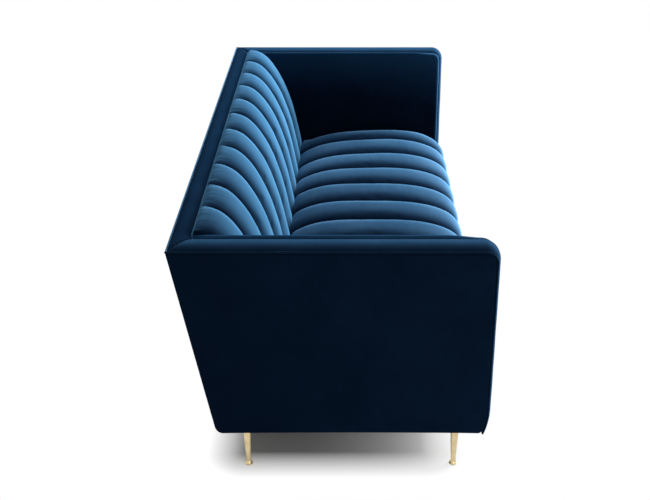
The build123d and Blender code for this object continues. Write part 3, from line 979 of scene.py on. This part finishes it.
def addWelt(name, path, aside, finish):
    path = np.array(path)
    run = np.gradient(path, axis=0)
    run /= np.linalg.norm(run, axis=1)[:, None]
    aside = np.tile(np.array(aside, float), (len(path), 1))
    upward = np.cross(run, aside)
    along = np.concatenate(([0.0], np.cumsum(np.linalg.norm(np.diff(path, axis=0), axis=1))))
    drawnIn = weltLook["pucker"] * (0.5 + 0.5 * np.cos(2 * math.pi * along / weltLook["stitch"]))
    radius = weltRadius * (1 - drawnIn)
    turns = np.radians(np.linspace(0, 360, weltLook["around"], endpoint=False))
    rings = np.array([spot + r * (np.outer(np.cos(turns), a) + np.outer(np.sin(turns), b))
                      for spot, r, a, b in zip(path, radius, aside, upward)])
    addPiece(f"{name}_cord", *skinRings(rings), finish, "welt", (name,))


# Seams of an arm: place across, rear end and share of the tuck
armSeams = {
    "outer": (outerSeamX, rearY, 1.0),
    "inner": (innerSeamX, frontSeamY + weltRadius, armFoot["innerShare"]),
}
# Seams of the back's band: depth and reach to either side
backSeams = {
    "front": (frontSeamY, innerSeamX - seamReach),
    "rear": (rearSeamY, outerSeamX - seamReach),
}
for side, sign in sides:
    for seam, (seamX, rearEnd, tucked) in armSeams.items():
        line = armLine(rearEnd)
        line = evenSteps(line, countSteps(runAlong(line)[-1]))
        line = line + weltLook[f"{seam}Stand"] * outward(line)
        path = [(sign * seamX, y + tucked * frontTuck(z), z) for y, z in line]
        addWelt(f"arm_welt_{seam}_{side}", path, (1, 0, 0), bandVelvet)
# The back's welts take the paler welt velvet, painted light
for seam, (seamY, reach) in backSeams.items():
    places = np.linspace(-reach, reach, countSteps(2 * reach))
    stands = weltLook[f"{seam}Stand"] * smoothStep((reach - np.abs(places)) / weltLook["endDip"])
    path = [(x, seamY, seamZ + stand) for x, stand in zip(places, stands)]
    addWelt(f"back_welt_{seam}", path, (0, 1, 0), weltVelvet)
print("welts made")


# Padded panels: their steps at the edges, how they crown and how full they are
panelLook = {
    "rimSteps": 9,
    "pastRim": (1.5, 2.2, 3.2),
    "leastSteps": 3,
    "crownPower": 0.6,
    "fill": 0.7,
}


# Steps from edge to edge, close together where a padded edge rounds over
def edgeSteps(length, look):
    rim = look["edge"] * (1 - np.cos(np.radians(np.linspace(0, 90, panelLook["rimSteps"]))))
    rim = np.concatenate((rim, look["edge"] * np.array(panelLook["pastRim"])))
    count = max(panelLook["leastSteps"], round((length - 2 * rim[-1]) / look["pitch"]))
    inner = np.linspace(rim[-1], length - rim[-1], count)[1:-1]
    return np.concatenate((rim, inner, length - rim[::-1]))


# Faces of a panel: a grid in front, the same grid behind, and the hem that joins them
def panelFaces(rows, columns):
    behind = rows * columns
    faces = []
    for row in range(rows - 1):
        for column in range(columns - 1):
            a = row * columns + column
            quad = (a, a + 1, a + columns + 1, a + columns)
            faces.append(quad)
            faces.append(tuple(behind + corner for corner in quad[::-1]))
    hem = [row * columns for row in range(rows)]
    hem += [(rows - 1) * columns + column for column in range(1, columns)]
    hem += [row * columns + columns - 1 for row in range(rows - 2, -1, -1)]
    hem += list(range(columns - 2, 0, -1))
    for spot, beside in zip(hem, hem[1:] + hem[:1]):
        faces.append((spot, beside, behind + beside, behind + spot))
    return faces


# A padded panel: flat behind, rounded over at its edges and a little crowned
def addPanel(name, size, place, look, corners, finish, node):
    edge = look["edge"]
    u, v = np.meshgrid(*(edgeSteps(length, look) for length in size), indexing="ij")
    squareFoot = np.clip(look.get("squareFoot", 0.0) - v, 0, None)
    rims = {"front": u + squareFoot, "rear": size[0] - u, "floor": v, "top": size[1] - v}
    rim = np.min([rims[side] for side in look.get("rounded", rims)], axis=0)
    lift = look["thickness"] - edge + np.sqrt(edge ** 2 - np.clip(edge - rim, 0, edge) ** 2)
    bow = np.clip(np.sin(np.pi * u / size[0]), 0, 1) * np.clip(np.sin(np.pi * v / size[1]), 0, 1)
    lift = lift + look["crown"] * bow ** panelLook["crownPower"]
    for cornerU, cornerV, radius in corners:
        inU, inV = radius - np.abs(u - cornerU), radius - np.abs(v - cornerV)
        inside = (inU > 0) & (inV > 0)
        pull = np.where(inside, np.maximum(inU, inV) / np.maximum(np.hypot(inU, inV), 1e-9), 1.0)
        u = np.where(inside, cornerU + np.sign(size[0] / 2 - cornerU) * (radius - inU * pull), u)
        v = np.where(inside, cornerV + np.sign(size[1] / 2 - cornerV) * (radius - inV * pull), v)
    behindLift = np.where(rim > 0, 0.0, look.get("hemLift", 0.0))
    points = np.concatenate((place(u, v, lift).reshape(-1, 3), place(u, v, behindLift).reshape(-1, 3)))
    addPiece(name, points, panelFaces(*u.shape), finish, "velvet", (node,), panelLook["fill"])


def allCorners(size, look):
    return [(u, v, look["cornerRadius"]) for u in (0, size[0]) for v in (0, size[1])]


# Outside arms: smooth panels that round under at the floor and at the rear
outsideArm = {
    "edge": 0.007,
    "pitch": 0.024,
    "crown": 0.002,
    "topFrontRadius": 0.032,
    "floorFrontRadius": 0.014,
    "floorRearRadius": 0.024,
}
armLow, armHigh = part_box("outside_arm_right")
outsideArm["thickness"] = armHigh.x - armLow.x


def addOutsideArm(side, sign):
    width, height = armHigh.y - armLow.y, armHigh.z - armLow.z

    def place(u, v, lift):
        share = u / width
        rise = armFoot["bottomRise"] * np.sqrt(np.clip(np.sin(np.pi * share), 0, 1))
        z = armLow.z + v + rise * np.clip(1 - v / armFoot["bottomReach"], 0, 1)
        front = armLow.y + frontTuck(z)
        y = front + share * (leanY(z, 0) - front)
        return np.stack((sign * (armLow.x + lift), y, z), axis=-1)

    corners = (
        (0, height, outsideArm["topFrontRadius"]),
        (0, 0, outsideArm["floorFrontRadius"]),
        (width, 0, outsideArm["floorRearRadius"]),
    )
    name = f"outside_arm_{side}"
    addPanel(f"{name}_panel", (width, height), place, outsideArm, corners, panelVelvet, name)


# Inside arms: pads whose top edge swells into a lip, square where they meet the seat and the back
insideArm = {
    "edge": 0.0145,
    "pitch": 0.026,
    "crown": 0.0,
    "rounded": ("front", "top"),
    "squareFoot": 0.050,
    "topFrontRadius": 0.032,
    "rearInset": 0.0643,
    "lipStart": 0.0048,
    "lipRise": 0.0193,
    "lipPower": 1.6,
    "lipHeight": 0.050,
    "lipFront": 0.030,
    "lipReach": 0.090,
    "lipFrontShare": 0.45,
}
padLow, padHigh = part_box("arm_pad_right")
insideArm["thickness"] = padHigh.x - padLow.x
insideArm["hemLift"] = insideArm["thickness"] - insideArm["edge"] - softGap


def addInsideArm(side, sign):
    width, height = padHigh.y - padLow.y, padHigh.z - padLow.z

    def place(u, v, lift):
        past = lift - insideArm["hemLift"] - softGap
        swell = np.clip(past / insideArm["edge"], 0, 1) ** insideArm["lipPower"]
        lip = insideArm["lipStart"] + (insideArm["lipRise"] - insideArm["lipStart"]) * swell
        lip = np.where(past > -softGap / 2, lip, 0.0)
        forward = 1 - smoothStep((u - insideArm["lipFront"]) / insideArm["lipReach"])
        lip = lip * (1 - (1 - insideArm["lipFrontShare"]) * forward)
        z = padLow.z + v + lip * smoothStep(1 - (height - v) / insideArm["lipHeight"])
        y = padLow.y + u / width * (leanY(padLow.z + v, insideArm["rearInset"]) - padLow.y)
        return np.stack((sign * (padHigh.x - lift), y, z), axis=-1)

    corners = ((0, height, insideArm["topFrontRadius"]),)
    name = f"arm_pad_{side}"
    addPanel(f"{name}_cover", (width, height), place, insideArm, corners, padVelvet, name)


for side, sign in sides:
    addOutsideArm(side, sign)
    addInsideArm(side, sign)
print("arms made")

# Outside back: one panel between the outside arms
outsideBack = {
    "edge": 0.005,
    "pitch": 0.030,
    "crown": 0.002,
    "thickness": 0.010,
    "cornerRadius": 0.006,
}


def addOutsideBack():
    low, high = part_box("outside_back")
    size = (high.x - low.x, (high.z - low.z) / math.cos(lean))

    def place(u, v, lift):
        y, z = backPoint(v, outsideBack["thickness"] - lift)
        return np.stack((low.x + u, y, z), axis=-1)

    corners = allCorners(size, outsideBack)
    addPanel("outside_back_panel", size, place, outsideBack, corners, panelVelvet, "outside_back")


# Front border under the seat's roll
frontBorder = {
    "edge": 0.006,
    "pitch": 0.030,
    "crown": 0.002,
    "cornerRadius": 0.003,
}


def addFrontBorder():
    low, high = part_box("front_cover")
    size = (high.x - low.x, high.z - low.z)
    frontBorder["thickness"] = high.y - low.y

    def place(u, v, lift):
        y = high.y - lift + armFoot["innerShare"] * frontTuck(low.z + v)
        return np.stack((low.x + u, y, low.z + v), axis=-1)

    corners = allCorners(size, frontBorder)
    addPanel("front_border", size, place, frontBorder, corners, panelVelvet, "front_cover")


addOutsideBack()
addFrontBorder()
print("outside back and front border made")

# Dust cover: thin cloth stapled under the base, cut out round the leg plates
dustLook = {
    "pitch": 0.06,
    "leastStep": 1e-6,
    "bays": 4,
    "sag": 0.003,
    "sagPower": 0.7,
    "plateHalf": 0.0303,
}


def addDustCover():
    low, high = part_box("dust_cover")
    half = dustLook["plateHalf"]
    legs = [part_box(f"leg_{row}_{side}") for row in ("front", "rear") for side, sign in sides]
    legPlaces = [((lo.x + hi.x) / 2, (lo.y + hi.y) / 2) for lo, hi in legs]

    def cutLines(start, end, places):
        marks = sorted({start, end, *(spot + sign * half for spot in places for sign in (-1, 1))})
        lines = [start]
        for near, far in zip(marks, marks[1:]):
            if far - near > dustLook["leastStep"]:
                count = max(2, round((far - near) / dustLook["pitch"]) + 1)
                lines += np.linspace(near, far, count)[1:].tolist()
        return lines

    acrossLines = cutLines(low.x, high.x, {round(x, 5) for x, y in legPlaces})
    depthLines = cutLines(low.y, high.y, {round(y, 5) for x, y in legPlaces})
    shape = bmesh.new()
    grid = {}
    for i, x in enumerate(acrossLines):
        for j, y in enumerate(depthLines):
            shareX, shareY = (x - low.x) / (high.x - low.x), (y - low.y) / (high.y - low.y)
            wave = abs(math.sin(dustLook["bays"] * math.pi * shareX)) * math.sin(math.pi * shareY)
            sag = dustLook["sag"] * wave ** dustLook["sagPower"]
            grid[i, j] = shape.verts.new((x, y, low.z - sag))
    for i, (left, right) in enumerate(zip(acrossLines, acrossLines[1:])):
        for j, (near, far) in enumerate(zip(depthLines, depthLines[1:])):
            spotX, spotY = (left + right) / 2, (near + far) / 2
            if not any(abs(spotX - x) < half and abs(spotY - y) < half for x, y in legPlaces):
                shape.faces.new((grid[i, j], grid[i + 1, j], grid[i + 1, j + 1], grid[i, j + 1]))
    bmesh.ops.delete(shape, geom=[spot for spot in shape.verts if not spot.link_faces], context="VERTS")
    bmesh.ops.solidify(shape, geom=shape.faces[:], thickness=low.z - high.z)
    shape.verts.index_update()
    points = [tuple(spot.co) for spot in shape.verts]
    faces = [tuple(spot.index for spot in face.verts) for face in shape.faces]
    shape.free()
    cover = addPiece("dust_cover_cloth", points, faces, dustCloth, "dust_cloth", ("dust_cover",))


addDustCover()
print("dust cover made")


# Floor, lamps and camera
studio = {
    "floorHalf": 14.0,
    "floorGrey": (0.72, 0.72, 0.72, 1),
    "shadeHalf": (0.935, 0.27),
    "shadeFade": 0.13,
    "worldGrey": 0.14,
    "lamps": (
        # name, place, aim, width, height, watts
        ("overhead_softbox", (2.0, -0.3, 3.2), (0.0, 0.0, 0.45), 3.0, 2.5, 92.0),
        ("front_softbox", (1.5, -3.4, 2.0), (0.0, 0.0, 0.45), 3.0, 2.0, 300.0),
        ("end_fill", (-4.2, -1.6, 1.6), (-1.0, 0.0, 0.45), 2.0, 2.0, 26.0),
    ),
    "cameraPlace": (-3.694, -0.033, 2.034),
    "cameraPitch": 25.72,
    "focalPixels": 1069.4,
    "axisColumn": 346.0,
    "imageWidth": 650,
    "sensorWidth": 36.0,
    "clipEnd": 60.0,
}


# Rays that see the white background: from the camera, from metal and through glass
def seenRays(paint):
    kinds = ("Is Camera Ray", "Is Glossy Ray", "Is Transmission Ray")
    camera, shine, clear = (paint.node("ShaderNodeLightPath", output=kind) for kind in kinds)
    return paint.spread(camera + shine + clear, 0.0, 1.0)


# Pale floor that keeps the shadow under the sofa and fades to white around it
def makeFloor():
    paint = newPaint("studio_floor")

    def vector(operation, inputs, output=0):
        return paint.node("ShaderNodeVectorMath", {"operation": operation}, inputs, output)

    away = vector("ABSOLUTE", {0: paint.node("ShaderNodeTexCoord", output="Object")})
    away = vector("SUBTRACT", {0: away, 1: (*studio["shadeHalf"], 0)})
    away = vector("MAXIMUM", {0: away, 1: (0, 0, 0)})
    away = vector("LENGTH", {0: away}, "Value")
    matt = paint.node("ShaderNodeBsdfDiffuse", None, {"Color": studio["floorGrey"]})
    glow = paint.node("ShaderNodeEmission", None, {"Color": (1, 1, 1, 1), "Strength": 1.0})
    white = seenRays(paint) * paint.spread(away, 0.0, studio["shadeFade"])
    return paint.finish(paint.node("ShaderNodeMixShader", None, {0: white, 1: matt, 2: glow}))


def makeWorld():
    paint = Paint(bpy.data.worlds.new("studio_world"))
    strength = seenRays(paint) * (1 - studio["worldGrey"]) + studio["worldGrey"]
    glow = paint.node("ShaderNodeBackground", None, {"Color": (1, 1, 1, 1), "Strength": strength})
    paint.node("ShaderNodeOutputWorld", None, {"Surface": glow})
    return paint.owner


half = studio["floorHalf"]
floorMesh = bpy.data.meshes.new("studio_floor")
floorCorners = [(-half, -half, 0), (half, -half, 0), (half, half, 0), (-half, half, 0)]
floorMesh.from_pydata(floorCorners, [], [(0, 1, 2, 3)])
floor = bpy.data.objects.new("studio_floor", floorMesh)
scene.collection.objects.link(floor)
floorMesh.materials.append(makeFloor())

for name, place, aim, width, height, watts in studio["lamps"]:
    light = bpy.data.lights.new(name, "AREA")
    light.shape = "RECTANGLE"
    light.size = width
    light.size_y = height
    light.energy = watts
    lamp = bpy.data.objects.new(name, light)
    lamp.location = place
    lamp.rotation_euler = (Vector(aim) - Vector(place)).to_track_quat("-Z", "Y").to_euler()
    scene.collection.objects.link(lamp)

scene.world = makeWorld()

cameraData = bpy.data.cameras.new("photo_camera")
cameraData.sensor_width = studio["sensorWidth"]
cameraData.lens = studio["focalPixels"] / studio["imageWidth"] * cameraData.sensor_width
cameraData.shift_x = (studio["imageWidth"] / 2 - studio["axisColumn"]) / studio["imageWidth"]
cameraData.clip_end = studio["clipEnd"]
camera = bpy.data.objects.new("photo_camera", cameraData)
camera.location = studio["cameraPlace"]
pitch = math.radians(studio["cameraPitch"])
camera.rotation_euler = Vector((math.cos(pitch), 0, -math.sin(pitch))).to_track_quat("-Z", "Y").to_euler()
scene.collection.objects.link(camera)
scene.camera = camera
print("studio ready")
